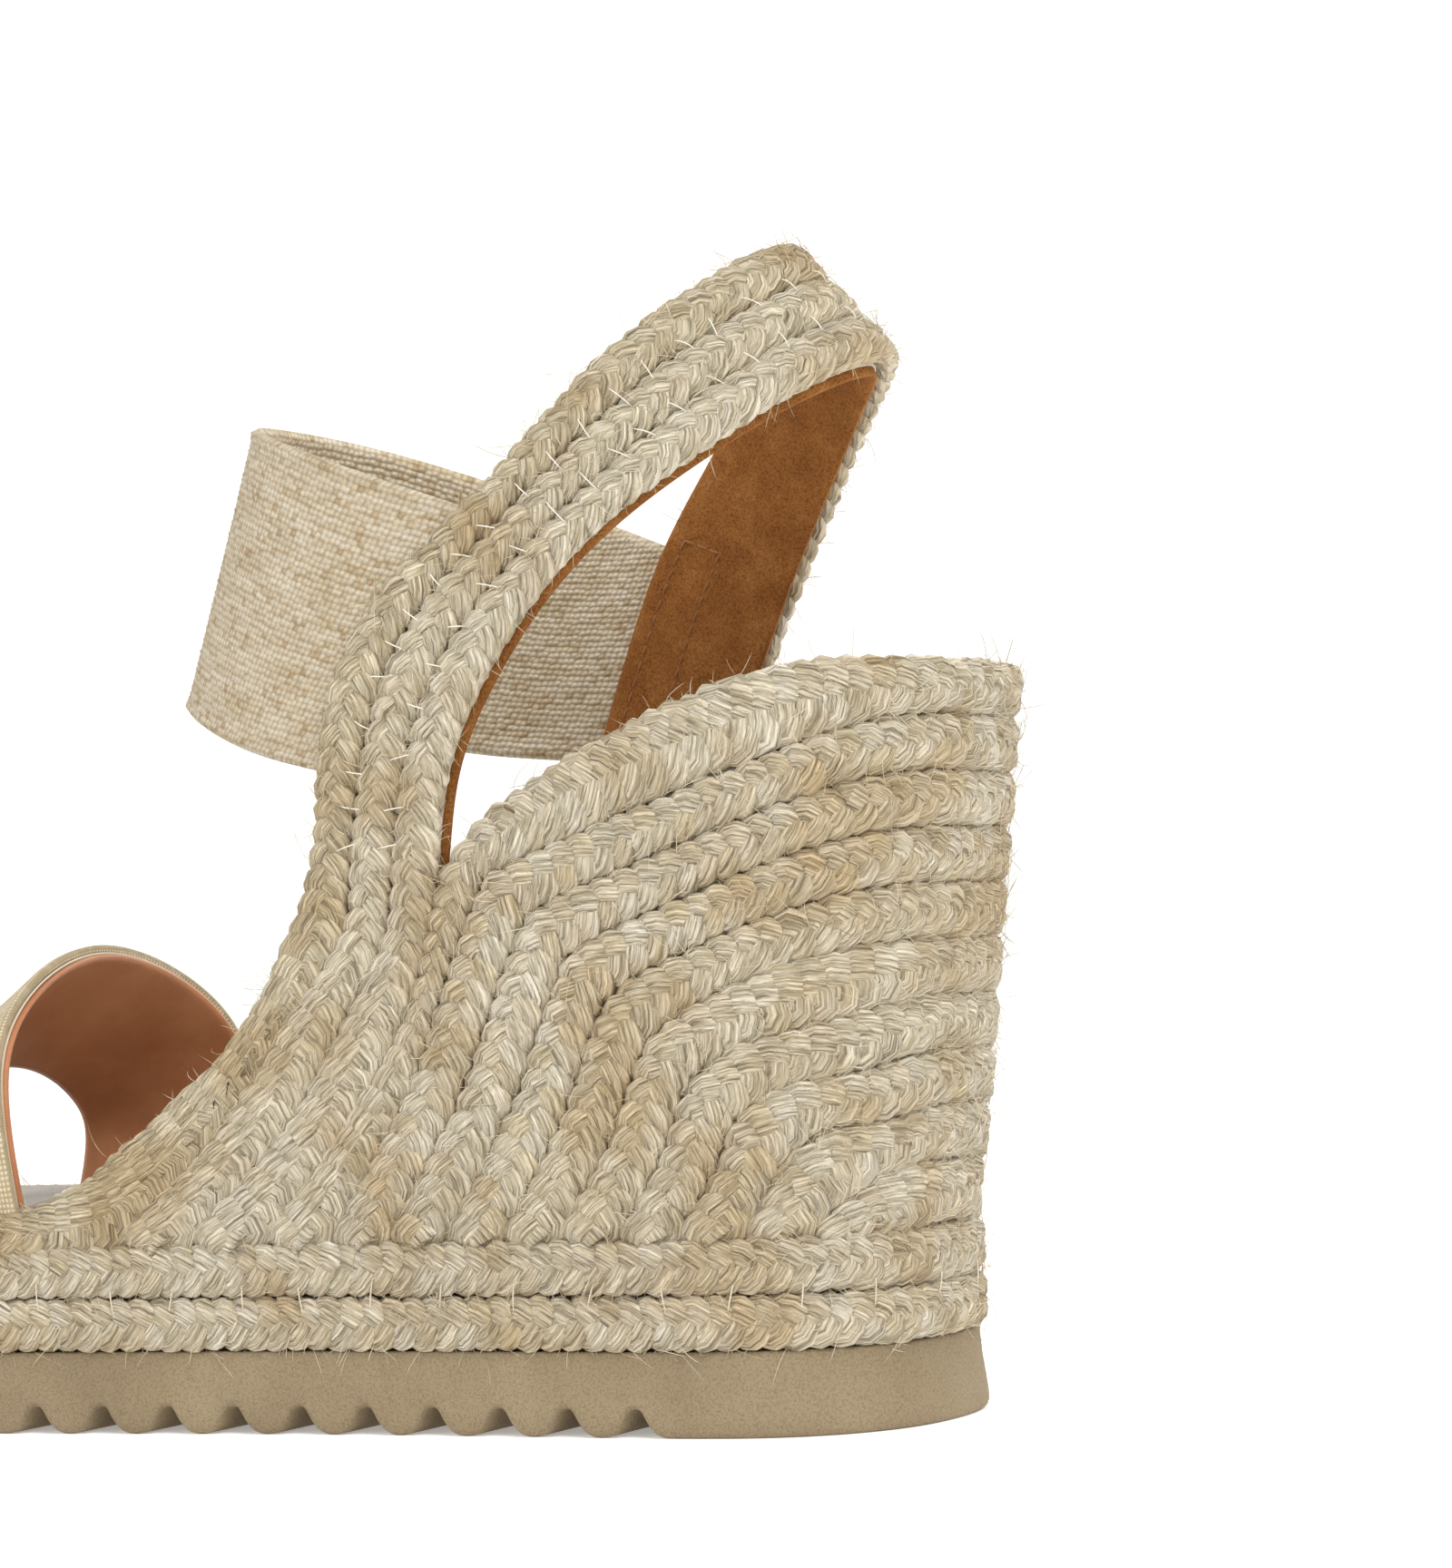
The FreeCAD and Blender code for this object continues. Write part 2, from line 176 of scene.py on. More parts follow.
def planLoop():
    # closed outline of the sole: toe, outer side, heel, inner side, evenly spaced, with outward normals
    pts = [(sole["toeX"], 5.0)] + [(sole["heelX"] - a, -b) for a, b in reversed(sole["outer"])]
    pts += [(sole["heelX"], 0.0)] + [(sole["heelX"] - a, b) for a, b in sole["inner"]]
    pts = np.array(pts)
    ext = np.concatenate([pts[-4:], pts, pts[:5]])
    d = runLength(ext)
    q = smoothThrough(d, ext, np.linspace(d[4], d[4 + len(pts)], 2401))
    arc = runLength(q)
    even = np.linspace(0, arc[-1], 1601)[:-1]
    q = np.stack([np.interp(even, arc, q[:, i]) for i in (0, 1)], -1)
    t = unit(np.roll(q, -1, 0) - np.roll(q, 1, 0))
    n = np.stack([t[:, 1], -t[:, 0]], -1)
    if n[np.argmax(q[:, 0]), 0] < 0:
        n = -n
    return q, n, arc[-1]


planPts, planNrm, planLen = planLoop()
planStep = planLen / len(planPts)
heelU = planStep * int(np.argmax(planPts[:, 0] - 0.02 * np.abs(planPts[:, 1])))


def planAt(u):
    f = (np.asarray(u, float) / planStep) % len(planPts)
    i = np.floor(f).astype(int) % len(planPts)
    j = (i + 1) % len(planPts)
    k = (f - np.floor(f))[..., None]
    return planPts[i] * (1 - k) + planPts[j] * k, unit(planNrm[i] * (1 - k) + planNrm[j] * k)


def wallPoint(u, z, out=0.0):
    # point on the side wall at outline distance u and height z, moved out along the wall's normal
    p, n = planAt(u)
    lift = np.maximum(z - sole["top"], 0)
    lean = sole["lean"] * ease((p[..., 0] - 55) / 60) * lift / (sole["rim"] - sole["top"])
    out = np.asarray(out)[..., None] if np.ndim(out) else out
    q = p + n * out
    return np.stack([q[..., 0] + lean, q[..., 1], np.broadcast_to(z, lean.shape)], -1)


def uAtX(x, z, side):
    # outline distance of the wall point at x and z, on the outer (-1) or inner (+1) side
    half = int(heelU / planStep)
    idx = np.arange(20, half) if side < 0 else np.arange(half, len(planPts) - 20)
    px = planPts[idx, 0]
    px = px + sole["lean"] * ease((px - 55) / 60) * max(z - sole["top"], 0) / (sole["rim"] - sole["top"])
    order = np.argsort(px)
    return float(np.interp(x, px[order], idx[order] * planStep))


print("outline ready,", round(planLen), "mm round")


def innerShift(x, z):
    # the inner side's rows sit farther back and higher as they rise
    w = np.clip((z - 30) / 60, 0, 1) * np.clip((112 - x) / 55, 0, 1)
    return x + 15.5 * w, z + 8 * w


def rowStations(k):
    # side view of row line k, from the heel to its landing on the platform
    level = sole["rim"] - sole["pitch"] * k
    if k == 9:
        return [(109.5, level - 2.2), (107.6, level - 4.2), (105.0, level - 6.8), (102.5, sole["top"])]
    if k == 0:
        return [(101, 110.9), (78.9, 104.0), (57.5, 93.4), (46.8, 83.5), (42.6, 70.0), (33.0, 50.0),
                (14.6, sole["top"])]
    kneeX, kneeZ = 54.2 + 6.6 * (k - 1), 82.1 - 5.85 * (k - 1)
    landX = 26.2 + 9.5 * (k - 1)
    startX = min(max(kneeX + 22, 106 - 0.6 * k), 111.5)
    startZ = level - 1.6 - 0.25 * max(8 - k, 0)
    midX, midZ = 0.5 * (startX + kneeX), 0.46 * startZ + 0.54 * kneeZ + 1.4
    lowX, lowZ = landX + 0.52 * (kneeX - landX), 28.8 + 0.45 * (kneeZ - 28.8)
    return [(startX, startZ), (midX, midZ), (kneeX + 3.4, kneeZ + 2.0), (kneeX - 1.2, kneeZ - 1.8),
            (0.5 * (kneeX + lowX) - 0.4, 0.5 * (kneeZ + lowZ)), (lowX, lowZ), (landX, sole["top"])]


def rowLine(k, side, count=161):
    # (u, z) samples of row line k on one side, from the heel's centre to the landing
    t = np.linspace(0, 1, count)
    if k == 10:
        uEnd = uAtX(107.0, sole["top"], side)
        return np.stack([heelU + (uEnd - heelU) * t, np.full(count, sole["top"] + 0.1)], -1)
    xz = np.array(rowStations(k), float)
    level = sole["rim"] - sole["pitch"] * k
    if side > 0:
        xz = np.stack(innerShift(xz[:, 0], xz[:, 1]), -1)
    uz = np.array([(uAtX(x, z, side), z) for x, z in xz])
    gap = uz[0, 0] - heelU
    uz = np.concatenate([[(heelU, level), (heelU + gap * 0.55, level)], uz])
    return smoothThrough(np.linspace(0, 1, len(uz)), uz, t)


def evenly(a, b, count, *more):
    # paired edges sampled evenly along their middle line
    d = runLength(0.5 * (a + b))
    e = np.linspace(0, d[-1], count)
    got = [np.stack([np.interp(e, d, q[:, i]) for i in range(3)], -1) for q in (a, b, *more)]
    return (d[-1], *got)


# three-strand flat plait: shares of the strip's width, mm for the rest
plait = dict(period=10.6, swing=0.262, halfWidth=0.268, halfThick=1.42, depth=0.74, base=-1.55, step=0.85, sides=12,
             wander=0.10, twist=17.0)
fuzz = dict(perMm=1.9, thick=0.05, short=2.0, long=8.0, lift=0.15, rings=6)


def layPlait(bm, layer, a, b, out, seed):
    r = np.random.default_rng(seed)
    length, a, b, out = evenly(a, b, 400, out)
    periods = max(2, round(length / plait["period"]))
    n = int(length / plait["step"]) + 1
    length, a, b, out = evenly(a, b, n, out)
    mid = 0.5 * (a + b)
    across = unit(b - a)
    wide = np.linalg.norm(b - a, axis=1)
    normal = unit(np.cross(unit(np.gradient(mid, axis=0)), across))
    normal *= np.sign(np.sum(normal * out, axis=1))[:, None]
    s = np.linspace(0, 1, n)
    strands = []
    for j in range(3):
        waves = ((0.37, 0.5), (0.9, 0.35), (1.7, 0.3))
        wob = sum(np.sin(2 * math.pi * (s * periods * f + r.random())) * w for f, w in waves)
        th = 2 * math.pi * (s * periods + j / 3) + 0.13 * wob
        height = plait["base"] - plait["depth"] * np.sin(2 * th) + plait["wander"] * wob
        c = mid + across * (np.sin(th) * plait["swing"] * wide)[:, None] + normal * height[:, None]
        along = unit(np.gradient(c, axis=0))
        side = unit(np.cross(along, normal))
        up = unit(np.cross(side, along))
        fat = 1 + 0.07 * np.sin(2 * math.pi * (s * periods * 0.73 + r.random()))
        fat += 0.05 * r.standard_normal(n).cumsum() / math.sqrt(n)
        halfW = plait["halfWidth"] * wide * fat
        halfT = plait["halfThick"] * (0.93 + 0.1 * r.random()) * np.clip(wide / 7.5, 0.55, 1.05)
        ang = np.linspace(0, 2 * math.pi, plait["sides"], endpoint=False)
        cs, sn = np.cos(ang), np.sin(ang)
        cs = np.sign(cs) * np.abs(cs) ** 0.85
        sn = np.sign(sn) * np.abs(sn) ** 0.8
        ring = c[:, None] + side[:, None] * (halfW[:, None] * cs)[..., None]
        ring += up[:, None] * (halfT[:, None] * sn)[..., None]
        tone = r.random()
        # fibres lie at the yarn's twist angle to the strand
        lean = -math.radians(plait["twist"])
        along0, across0 = runLength(c)[:, None], halfW[:, None] * cs
        maps = np.zeros(ring.shape)
        maps[..., 0] = along0 * math.cos(lean) + across0 * math.sin(lean) + 80 * tone
        maps[..., 1] = across0 * math.cos(lean) - along0 * math.sin(lean) + 9 * j + 40 * tone
        maps[..., 2] = tone
        layGrid(bm, layer, ring, maps, rolled=True)
        strands.append((c, along, side, up, halfW, halfT))
    layFuzz(bm, layer, strands, r)


def layFuzz(bm, layer, strands, r):
    # loose fibres lying over the strands and standing out of them
    rings = fuzz["rings"]
    points, maps = [], []
    for c, along, side, up, halfW, halfT in strands:
        for _ in range(int(runLength(c)[-1] * fuzz["perMm"])):
            i = int(r.integers(2, len(c) - 3))
            phi = r.uniform(0.1, math.pi - 0.1)
            away = side[i] * math.cos(phi) + up[i] * math.sin(phi)
            q = c[i] + side[i] * halfW[i] * math.cos(phi) * 0.95 + up[i] * halfT[i] * math.sin(phi) * 0.9
            d = along[i] * r.choice((-1, 1)) + side[i] * r.normal(0, 0.55) + away * abs(r.normal(0, fuzz["lift"]))
            d /= np.linalg.norm(d)
            length = r.uniform(fuzz["short"], fuzz["long"]) * (0.45 if r.random() < 0.5 else 1)
            bend = r.normal(0, 0.34, 3) - up[i] * 0.26
            thick = fuzz["thick"] * r.uniform(0.7, 1.35)
            tone = r.random()
            for k in range(rings):
                x = np.cross(d, up[i] + 0.01)
                x /= max(np.linalg.norm(x), 1e-6)
                y = np.cross(x, d)
                w = 0 if k in (0, rings - 1) else thick * (1 - 0.6 * (k / rings) ** 2)
                points.append([q + w * (x * math.cos(g) + y * math.sin(g)) for g in (0.5, 2.6, 4.7)])
                maps.append([(k * length / rings, tone * 60, 0.6 + 0.4 * tone)] * 3)
                q = q + d * length / (rings - 1)
                d = d + bend * 0.3
                d /= np.linalg.norm(d)
    layHairs(bm, layer, np.array(points), np.array(maps))


def layHairs(bm, layer, points, maps):
    rings = fuzz["rings"]
    rows = len(points)
    points = np.concatenate([points, points[:, :1]], 1)
    maps = np.concatenate([maps, maps[:, :1]], 1)
    verts = bmesh.ops.create_grid(bm, x_segments=3, y_segments=rows - 1, size=1)["verts"]
    for v, p, q in zip(verts, (points.reshape(-1, 3) * mm).tolist(), maps.reshape(-1, 3).tolist()):
        v.co = p
        v[layer] = q
    between = []
    for g in range(rings, rows, rings):
        for j in range(3):
            corner = set(verts[g * 4 + j].link_faces) & set(verts[g * 4 + j + 1].link_faces)
            low = verts[(g - 1) * 4 + j]
            between += [f for f in corner if low in f.verts]
    bmesh.ops.delete(bm, geom=between, context="FACES_KEEP_BOUNDARY")
    bmesh.ops.remove_doubles(bm, verts=verts, dist=1e-8)


# dry plaited jute: pale greige, dark gaps between long fibres, a few brown flecks, no shine
def juteMaterial(name, pale, mid, dark):
    mat, shader = newMaterial(name, {"Roughness": 0.88, "Specular IOR Level": 0.2, "Sheen Weight": 0.12,
                                     "Sheen Roughness": 0.5})
    strand = addNode(mat, "Attribute", {"attribute_name": "strandMap"}, out="Vector")
    tone = addNode(mat, "SeparateXYZ", links={0: strand}, out=2)
    place = addNode(mat, "TexCoord", out="Object")
    # fibres about 0.35 mm across and 5 mm long, bundles 1.2 mm across
    fineAt = addNode(mat, "Mapping", {"Scale": (0.19, 2.4, 0.0)}, {"Vector": strand})
    fine = addNode(mat, "TexNoise", {"Scale": 1.0, "Detail": 3.0, "Roughness": 0.6, "Distortion": 0.6},
                   {"Vector": fineAt})
    wideAt = addNode(mat, "Mapping", {"Scale": (0.13, 0.75, 0.0)}, {"Vector": strand})
    bundle = addNode(mat, "TexNoise", {"Scale": 1.0, "Detail": 2.0, "Distortion": 0.4}, {"Vector": wideAt})
    patch = addNode(mat, "TexNoise", {"Scale": 60.0, "Detail": 2.0}, {"Vector": place})
    fleckAt = addNode(mat, "Mapping", {"Scale": (0.35, 1.3, 0.0)}, {"Vector": strand})
    fleck = addNode(mat, "TexNoise", {"Scale": 1.0, "Detail": 1.0}, {"Vector": fleckAt})
    base = addNode(mat, "ValToRGB", {"stops": [(0.36, mid), (0.50, pale), (0.64, "E6DBC3")]}, {"Fac": bundle})
    streak = addNode(mat, "ValToRGB", {"stops": [(0.33, dark), (0.46, mid), (0.55, pale), (0.68, "F3EBDA")]},
                     {"Fac": fine})
    colour = addNode(mat, "Mix", {"data_type": "RGBA", 0: 0.74}, {6: base, 7: streak}, out=2)
    toneTint = addNode(mat, "ValToRGB", {"stops": [(0.0, "E6DCC6"), (0.5, "FFFFFF"), (1.0, "F6EDD9")]}, {"Fac": tone})
    colour = addNode(mat, "Mix", {"data_type": "RGBA", "blend_type": "MULTIPLY", 0: 0.8},
                     {6: colour, 7: toneTint}, out=2)
    patchTint = addNode(mat, "ValToRGB", {"stops": [(0.38, "E2CFAF"), (0.56, "FFFFFF")]}, {"Fac": patch})
    colour = addNode(mat, "Mix", {"data_type": "RGBA", "blend_type": "MULTIPLY", 0: 0.6},
                     {6: colour, 7: patchTint}, out=2)
    fleckMask = addNode(mat, "ValToRGB", {"stops": [(0.70, "000000"), (0.76, "A0A0A0")]}, {"Fac": fleck})
    colour = addNode(mat, "Mix", {"data_type": "RGBA", 7: linear("9A7350")}, {0: fleckMask, 6: colour}, out=2)
    height = addNode(mat, "Math", {"operation": "MULTIPLY_ADD", 1: 1.3}, {0: fine, 2: bundle})
    return dress(mat, shader, colour, height, 1.0, 0.0011)


juteMat = juteMaterial("natural jute plait", "DBD2C1", "B8AC92", "58492F")


def wallStrip(lineA, lineB):
    _, n = planAt(0.5 * (lineA[:, 0] + lineB[:, 0]))
    out = np.concatenate([n, np.zeros((len(n), 1))], -1)
    return wallPoint(lineA[:, 0], lineA[:, 1]), wallPoint(lineB[:, 0], lineB[:, 1]), out


def makeWedgeRows():
    for k in range(1, 11):
        bm, layer = newMesh()
        lines = [np.concatenate([rowLine(j, -1)[::-1], rowLine(j, 1)[1:]]) for j in (k - 1, k)]
        layPlait(bm, layer, *wallStrip(*lines), seed=k * 13)
        row = finishMesh("wedge_row_%02d" % k, bm, [juteMat])
        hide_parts("wedge_braid_%02d" % k)
        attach(row, "sole")
    print("wedge rows plaited")


def makePlatformRows():
    seam = (sole["outsole"] + sole["top"]) / 2
    u = np.linspace(0, planLen, 901)
    for name, high, low, seed in (("upper", sole["top"] + 0.1, seam, 3), ("lower", seam, sole["outsole"] + 0.1, 5)):
        bm, layer = newMesh()
        lines = [np.stack([u, np.full(len(u), z)], -1) for z in (high, low)]
        layPlait(bm, layer, *wallStrip(*lines), seed=seed)
        row = finishMesh("platform_row_" + name, bm, [juteMat])
        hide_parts("platform_braid_" + name)
        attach(row, "sole")
    print("platform rows plaited")


def makeRowBacking():
    # loose jute pressed flat behind the rows, 2.1 mm under their face, so the core never shows between strands
    bm, layer = newMesh()
    count = 241
    for side in (-1, 1):
        top = rowLine(0, side, count)
        w = np.linspace(0.0, 1.0, 25)
        z = sole["top"] - 1.0 + (top[:, 1] - 3.0 - sole["top"] + 1.0)[:, None] * w[None]
        u = np.repeat(top[:, :1], 25, 1)
        front = wallPoint(u, z, -2.1)
        back = wallPoint(u, z, -2.6)
        ring = np.concatenate([front, back[:, ::-1]], 1)
        maps = np.concatenate([np.stack([u, z, 0 * u + 0.3], -1), np.stack([u, z, 0 * u + 0.3], -1)[:, ::-1]], 1)
        layGrid(bm, layer, ring, maps, rolled=True)
    piece = finishMesh("row_backing", bm, [juteMat])
    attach(piece, "sole")


makeWedgeRows()
makePlatformRows()
makeRowBacking()

# edges of the heel strap's outer face, paired, from the outer leg over the heel to the inner leg
strap = dict(front=[(24.2, -34.8, 84.5), (26.7, -35.6, 99.0), (33.6, -36.0, 119.0), (53.0, -34.0, 138.2),
                    (72.4, -28.5, 157.6), (85.0, -17.0, 170.0), (92.9, 0.0, 177.4), (85.5, 16.0, 170.2),
                    (73.2, 24.4, 155.0), (57.0, 29.4, 135.2), (45.2, 31.0, 110.0), (38.1, 30.0, 91.8)],
             rear=[(46.6, -35.0, 84.5), (49.0, -35.6, 96.6), (56.0, -35.8, 111.0), (70.4, -33.6, 129.0),
                   (88.6, -26.0, 143.4), (102.0, -14.6, 153.6), (109.5, 0.0, 159.0), (103.0, 13.0, 155.4),
                   (91.6, 22.4, 144.0), (79.4, 28.0, 126.4), (68.6, 30.4, 106.5), (61.0, 29.8, 92.2)],
             braid=3.8, tape=0.6, lining=1.2, blendLow=(0.042, 0.0, 0.078), blendHigh=(0.042, 0.0, 0.103))


def legLine(k):
    # side view of strap edge k (0 front to 3 rear) where it runs down the wedge, from the platform up
    if k == 0:
        return [(-27.0, 34.0), (-5.3, 43.2), (12.8, 59.5), (20.0, 72.6)]
    topX, landX, bulge = ((31.6, -10.6, 0.6), (39.0, 1.9, 1.4), (46.6, 14.6, 2.0))[k - 1]
    return [(landX, sole["top"]), (0.45 * topX + 0.55 * landX + bulge, 46.5), (0.75 * topX + 0.25 * landX + bulge, 64.0),
            (topX - 1.6, 75.0)]


def legPoints(k, side):
    pts = []
    for x, z in legLine(k):
        if side > 0:
            x, z = (float(v) for v in innerShift(x, z))
        pts.append(wallPoint(uAtX(x, z, side), z))
    return np.array(pts)


def strapEdge(k):
    f = k / 3
    loop = np.array(strap["front"]) * (1 - f) + np.array(strap["rear"]) * f
    return np.concatenate([legPoints(k, -1), loop, legPoints(k, 1)[::-1]])


def smoothPair(pa, pb, count):
    d = runLength(0.5 * (pa + pb))
    x = np.linspace(0, d[-1], count)
    return smoothThrough(d, pa, x), smoothThrough(d, pb, x)


def awayFrom(p, centre, flat=1.0):
    v = p - np.array(centre)
    v[:, 2] *= flat
    return unit(v)


def makeStrapPlaits():
    for number in (1, 2, 3):
        pa, pb = strapEdge(number - 1), strapEdge(number)
        if number == 1:
            # the front plait runs on round the toe as the edge of the foot bed
            ends = {side: uAtX(-38.0, 33.6, side) for side in (-1, 1)}
            pa[0] = wallPoint(uAtX(-22.0, 35.0, -1), 35.2, -1.8)
            pa[-1] = wallPoint(uAtX(-22.0, 35.0, 1), 35.2, -1.8)
            us = [np.linspace(0, ends[-1], 9), np.linspace(ends[1], planLen, 9)]
            high = [wallPoint(u, np.full(9, 33.9), -3.6) for u in us]
            low = [wallPoint(u, np.full(9, 28.8)) for u in us]
            pa = np.concatenate([high[0], pa, high[1]])
            pb = np.concatenate([low[0], pb, low[1]])
        a, b = smoothPair(pa, pb, 900)
        mid = 0.5 * (a + b)
        out = awayFrom(mid, (58.0, 0.0, 110.0), 0.5)
        toe = mid[:, 2] < 60
        out[toe] = awayFrom(mid[toe], (-40.0, 0.0, 10.0))
        bm, layer = newMesh()
        layPlait(bm, layer, a, b, out, seed=100 + number)
        piece = finishMesh("strap_plait_%d" % number, bm, [juteMat])
        replaced = ["strap_braid_%d" % number]
        replaced += ["edge_braid"] if number == 1 else ["side_braid_%d_%s" % (number, s) for s in ("outer", "inner")]
        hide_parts(*replaced)
        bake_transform(piece)
    print("heel strap plaited")


makeStrapPlaits()


def layBand(bm, layer, a, b, hint, depth, cols, step, relief=None, roundness=0.5):
    # flat band between paired edges, from depth[0] to depth[1] below its outer face, with rounded long edges
    length = runLength(0.5 * (a + b))[-1]
    length, a, b, hint = evenly(a, b, int(length / step) + 2, hint)
    across = unit(b - a)
    wide = np.linalg.norm(b - a, axis=1)
    normal = unit(np.cross(unit(np.gradient(0.5 * (a + b), axis=0)), across))
    normal *= np.sign(np.sum(normal * hint, axis=1))[:, None]
    along = runLength(0.5 * (a + b))
    rings, maps = [], []
    for face, count in ((0, cols[0]), (1, cols[1])):
        w = np.linspace(0, 1, count)
        w = w if face == 0 else w[::-1]
        edge = np.minimum(w, 1 - w)[None] * wide[:, None]
        half = 0.5 * (depth[1] - depth[0])
        reach = half * roundness * 2
        drop = half * (1 - np.sqrt(1 - np.clip(1 - edge / reach, 0, 1) ** 2)) * roundness
        h = -(depth[0] + drop) if face == 0 else -(depth[1] - drop)
        if relief is not None:
            h = h + (1 if face == 0 else -1) * relief(along[:, None], w[None] * wide[:, None], edge)
        rings.append(a[:, None] + (b - a)[:, None] * w[None, :, None] + normal[:, None] * h[..., None])
        m = np.zeros(rings[-1].shape)
        m[..., 0] = along[:, None]
        m[..., 1] = w[None] * wide[:, None]
        m[..., 2] = face
        maps.append(m)
    layGrid(bm, layer, np.concatenate(rings, 1), np.concatenate(maps, 1), rolled=True)
    return (float(wide.mean()) * mm, float(length) * mm)


def layThread(bm, layer, p, q, up, thick, arch, tone=0.5):
    # one stitch from p to q, arched up off the surface and going under at both ends
    p, q, up = (np.asarray(v, float) for v in (p, q, up))
    t = np.linspace(0, 1, 7)
    c = p + (q - p) * t[:, None] + up * (arch * np.sin(math.pi * t) - 0.35 * arch)[:, None]
    along = unit(np.gradient(c, axis=0))
    side = unit(np.cross(along, up))
    top = np.cross(side, along)
    ang = np.linspace(0, 2 * math.pi, 6, endpoint=False)
    w = thick * 0.5 * np.array([0.5, 0.9, 1, 1, 1, 0.9, 0.5])
    spoke = side[:, None] * np.cos(ang)[:, None] + top[:, None] * np.sin(ang)[:, None]
    ring = c[:, None] + w[:, None, None] * spoke
    maps = np.zeros(ring.shape)
    maps[..., 0] = runLength(c)[:, None] + 10 * tone
    maps[..., 1] = ang[None] * thick * 0.5
    maps[..., 2] = tone
    layGrid(bm, layer, ring, maps, rolled=True)


# short-napped tan suede: soft mottled brown, paler raw edge
def suedeMaterial():
    mat, shader = newMaterial("tan lining suede", {"Roughness": 0.95, "Specular IOR Level": 0.15, "Sheen Weight": 0.35,
                                                   "Sheen Roughness": 0.4, "Sheen Tint": linear("D9914F")})
    place = addNode(mat, "TexCoord", out="Object")
    # nap 0.35 mm, brushed clouds 6 mm
    nap = addNode(mat, "TexNoise", {"Scale": 2600.0, "Detail": 3.0, "Roughness": 0.7}, {"Vector": place})
    cloud = addNode(mat, "TexNoise", {"Scale": 170.0, "Detail": 4.0, "Roughness": 0.65}, {"Vector": place})
    base = addNode(mat, "ValToRGB", {"stops": [(0.35, "935E30"), (0.52, "A06936"), (0.68, "AD7541")]}, {"Fac": cloud})
    grain = addNode(mat, "ValToRGB", {"stops": [(0.36, "A9A09A"), (0.60, "FFFFFF")]}, {"Fac": nap})
    colour = addNode(mat, "Mix", {"data_type": "RGBA", "blend_type": "MULTIPLY", 0: 0.8}, {6: base, 7: grain}, out=2)
    return dress(mat, shader, colour, nap, 0.7, 0.0003)


# covered elastic: knobbly linen yarn in moss weave, the inside face painted lighter than the outside as painted light
# on its shaded side
elastic = dict(pitch=1.16, rise=0.2, thick=1.6,
               low=[(27.3, -34.4, 99.6), (12.0, -32.6, 104.0), (-4.4, -22.4, 110.6), (-12.2, 0.0, 113.0),
                    (-4.0, 21.4, 110.8), (12.6, 29.6, 105.2), (41.0, 30.4, 101.6)],
               high=[(52.4, -32.6, 138.0), (33.5, -31.4, 145.0), (10.0, -20.6, 153.6), (0.4, 0.0, 157.0),
                     (10.4, 19.4, 153.8), (34.0, 27.6, 144.6), (56.2, 28.4, 135.3)],
               blendStart=(0.03, 0.0, 0.13), blendEnd=(-0.005, 0.0, 0.135))


def weaveRelief(along, across, edge):
    # knobs in staggered rows, and a rolled selvedge along both edges
    p = elastic["pitch"]
    row = np.round(across / (p * 0.82))
    bead = np.cos(2 * math.pi * (along / p + 0.5 * (row % 2))) * 0.5 + 0.5
    between = np.cos(2 * math.pi * across / (p * 0.82)) * 0.5 + 0.5
    drift = 0.5 + 0.5 * np.sin(along * 0.9 + 3 * np.sin(across * 0.37)) * np.sin(across * 1.3 + along * 0.23)
    roll = 0.35 * np.exp(-((edge - 0.9) / 0.7) ** 2)
    return elastic["rise"] * (bead * between * (0.7 + 0.5 * drift) - 0.2) + roll * (0.7 + 0.3 * bead)


